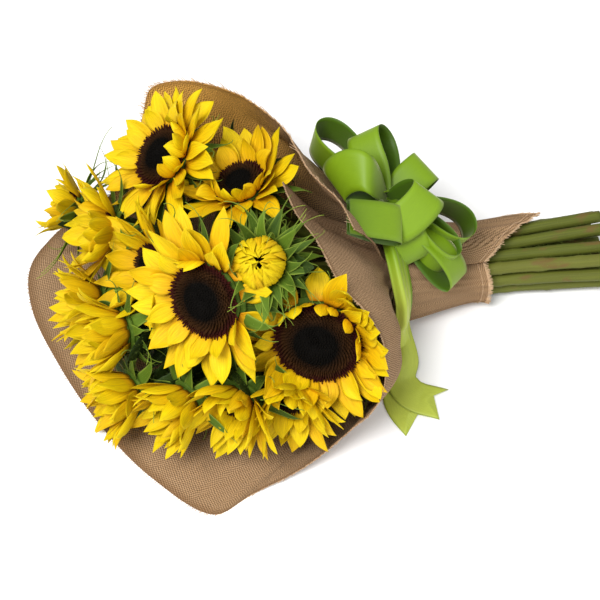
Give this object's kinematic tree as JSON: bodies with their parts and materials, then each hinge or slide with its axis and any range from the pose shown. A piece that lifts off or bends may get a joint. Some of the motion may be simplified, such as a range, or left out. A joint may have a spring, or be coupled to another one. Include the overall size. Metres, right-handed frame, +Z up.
{
  "type": "bunch of sunflowers",
  "caption": "Bouquet of cut sunflowers with leafy stalks, rolled in a burlap sheet and tied with a satin ribbon bow with two loose tails, lying on its side.",
  "frame": {"origin": "centre of the bounding box, at the bottom: the surface that the bunch lies on", "axes": "+Z up, +X along the bunch from the heads to the cut ends of the stems, -Y towards the side that the picture is taken from"},
  "size_m": [0.5534, 0.3862, 0.2144],
  "materials": {
    "burlap": "coarse open plain weave, matt",
    "ribbon": "satin",
    "green": "matt plant skin with fine hairs",
    "petal": "matt, with fine grooves along each petal",
    "disc": "matt, rough"
  },
  "bodies": {
    "root": {"burlap_wrap": "burlap", "ribbon_band": "ribbon", "ribbon_bow": "ribbon", "ribbon_tail_left": "ribbon", "ribbon_tail_right": "ribbon", "stem_front": "green", "petals_front": "petal", "disc_front": "disc", "stem_centre": "green", "petals_centre": "petal", "disc_centre": "disc", "stem_left_back": "green", "petals_left_back": "petal", "disc_left_back": "disc", "stem_back": "green", "petals_back": "petal", "disc_back": "disc", "stem_bud": "green", "petals_bud": "petal", "disc_bud": "disc", "stem_far_left": "green", "petals_far_left": "petal", "disc_far_left": "disc", "stem_left_high": "green", "petals_left_high": "petal", "disc_left_high": "disc", "stem_left_inner": "green", "petals_left_inner": "petal", "disc_left_inner": "disc", "stem_left_outer": "green", "petals_left_outer": "petal", "disc_left_outer": "disc", "stem_left_low": "green", "petals_left_low": "petal", "disc_left_low": "disc", "stem_low_left": "green", "petals_low_left": "petal", "disc_low_left": "disc", "stem_low_middle": "green", "petals_low_middle": "petal", "disc_low_middle": "disc", "stem_low_right": "green", "petals_low_right": "petal", "disc_low_right": "disc", "stem_low_front": "green", "petals_low_front": "petal", "disc_low_front": "disc"}
  },
  "joints": []
}
